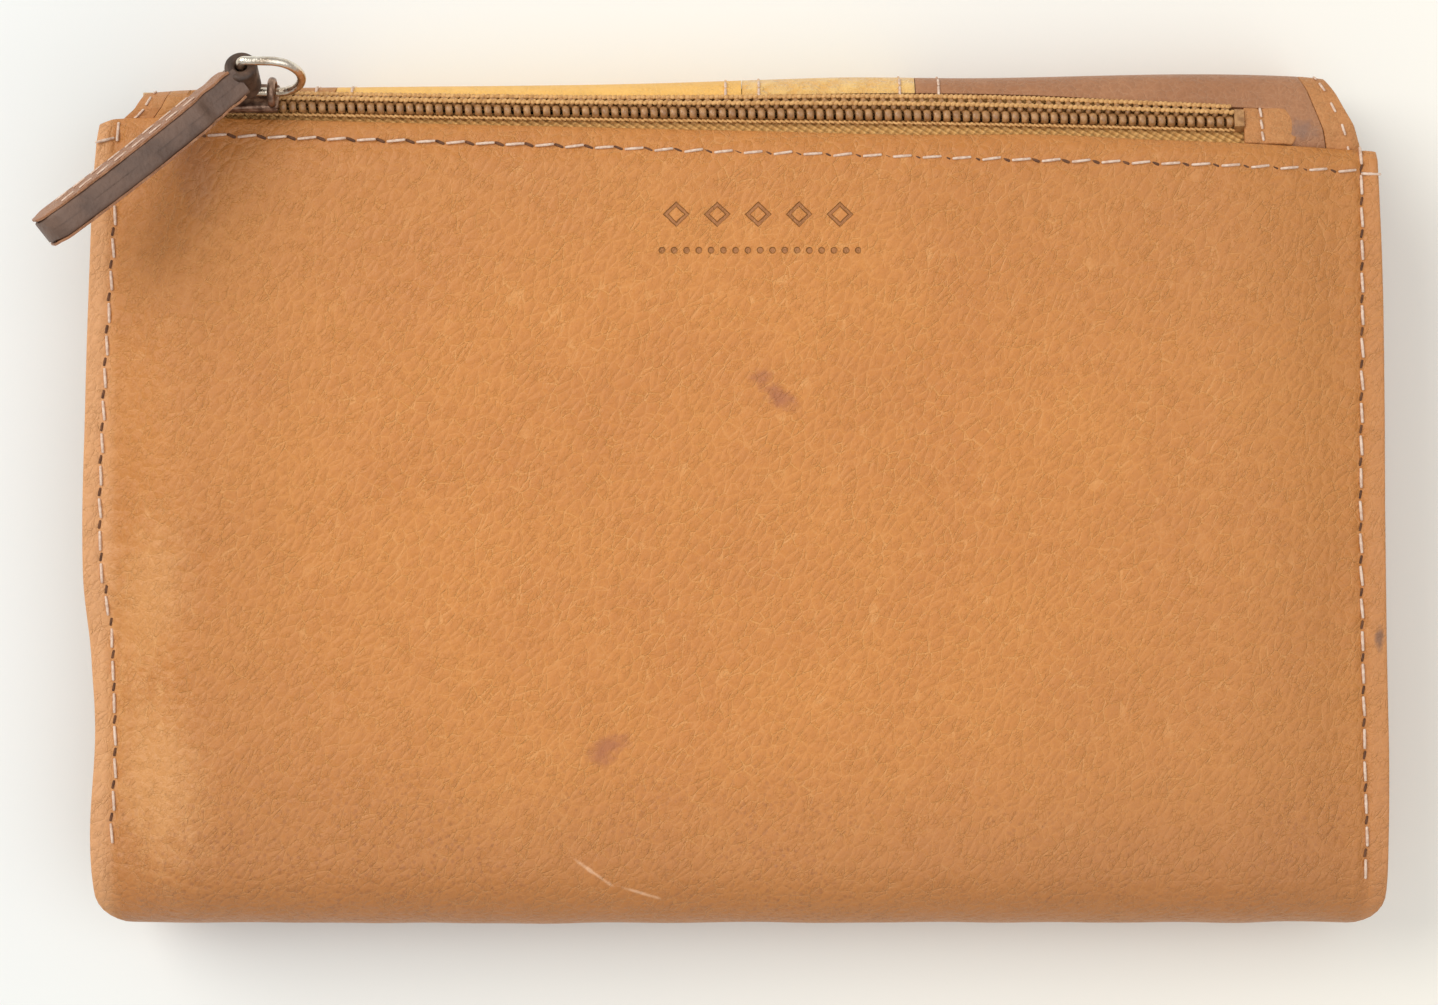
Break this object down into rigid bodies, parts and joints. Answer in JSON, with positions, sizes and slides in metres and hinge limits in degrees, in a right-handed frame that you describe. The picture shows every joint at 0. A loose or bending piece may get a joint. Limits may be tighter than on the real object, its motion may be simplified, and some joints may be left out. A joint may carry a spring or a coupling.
{
  "type": "zippered pouch",
  "caption": "Leather flap pouch with a patchwork flap, card pockets and a zipped pocket on its back; the flap folds open and the slider, ring and leather pull move.",
  "frame": {"origin": "on the outer face of the closed flap, below the middle of the back panel's width", "axes": "+X along the zip, away from its shut end; +Y towards the top edge; +Z out of the back panel"},
  "size_m": [0.1648, 0.1069, 0.0343],
  "materials": {
    "tan_leather": "pebbled, waxed, worn",
    "gusset_leather": "smooth, soft",
    "tan_patch_leather": "smooth, waxed",
    "light_leather": "smooth, soft sheen",
    "suede": "napped suede",
    "brown_leather": "smooth, matt",
    "edging_leather": "smooth, waxed",
    "lining_cloth": "fine twill",
    "zip_tape": "woven",
    "zip_coil": "satin nylon",
    "thread": "twisted thread",
    "bronze": "antique bronze, worn",
    "ring_metal": "polished pale nickel",
    "snap_metal": "antique brass",
    "pull_leather": "doubled leather with painted edges"
  },
  "bodies": {
    "pouch": {"outer_wrap": "tan_leather", "left_gusset": "gusset_leather", "right_gusset": "gusset_leather", "front_lining": "lining_cloth", "card_pocket_front": "tan_leather", "card_pocket_middle": "tan_leather", "card_pocket_back": "tan_leather", "pocket_backing": "lining_cloth", "pocket_top_hem": "lining_cloth", "zip_pocket_lining": "lining_cloth", "lower_zip_tape": "zip_tape", "upper_zip_tape": "zip_tape", "lower_coil": "zip_coil", "upper_coil": "zip_coil", "top_stops": "bronze", "bottom_stop": "bronze", "zip_end_tab": "tan_leather", "lip_stitching": "thread", "left_side_stitching": "thread", "right_side_stitching": "thread", "end_tab_stitching": "thread", "root_patch_tan": "tan_patch_leather", "root_patch_light": "light_leather", "root_patch_suede": "suede", "root_patch_brown": "brown_leather", "root_edging_right": "edging_leather", "snap_socket": "snap_metal"},
    "spine": {"spine_patch_tan": "tan_patch_leather", "spine_patch_light": "light_leather", "spine_patch_suede": "suede", "spine_patch_brown": "brown_leather", "spine_edging_left": "edging_leather", "spine_edging_right": "edging_leather", "spine_lining": "lining_cloth"},
    "flap": {"flap_patch_tan": "tan_patch_leather", "flap_patch_light": "light_leather", "flap_patch_suede": "suede", "flap_patch_brown": "brown_leather", "flap_edging_left": "edging_leather", "flap_edging_right": "edging_leather", "flap_edging_bottom": "edging_leather", "flap_lining": "lining_cloth", "flap_edge_stitching": "thread", "snap_stud": "snap_metal"},
    "slider": {"slider": "bronze"},
    "ring": {"pull_ring": "ring_metal"},
    "pull": {"pull_tab": "pull_leather", "pull_stitching": "thread"}
  },
  "joints": [
    {"name": "spine_fold", "type": "hinge", "parent": "pouch", "child": "spine", "pos_m": [0, 0.0518, 0.0155], "axis": [1, 0, 0], "range_deg": [0, 90]},
    {"name": "flap_fold", "type": "hinge", "parent": "spine", "child": "flap", "pos_m": [0, 0.0518, 0.0006], "axis": [1, 0, 0], "range_deg": [0, 90]},
    {"name": "zip_slide", "type": "slide", "parent": "pouch", "child": "slider", "axis": [0.9998, -0.0175, 0], "range_m": [0, 0.1165]},
    {"name": "ring_swing", "type": "hinge", "parent": "slider", "child": "ring", "pos_m": [-0.05662, 0.04977, 0.02017], "axis": [0.9998, -0.0175, 0], "range_deg": [-34, 3]},
    {"name": "pull_swing", "type": "hinge", "parent": "ring", "child": "pull", "pos_m": [-0.05974, 0.0513, 0.02334], "axis": [0.0074, 0.4226, 0.9063], "range_deg": [-20, 57]}
  ],
  "couplings": [
    {"joint": "flap_fold", "follows": "spine_fold", "ratio": 1}
  ]
}
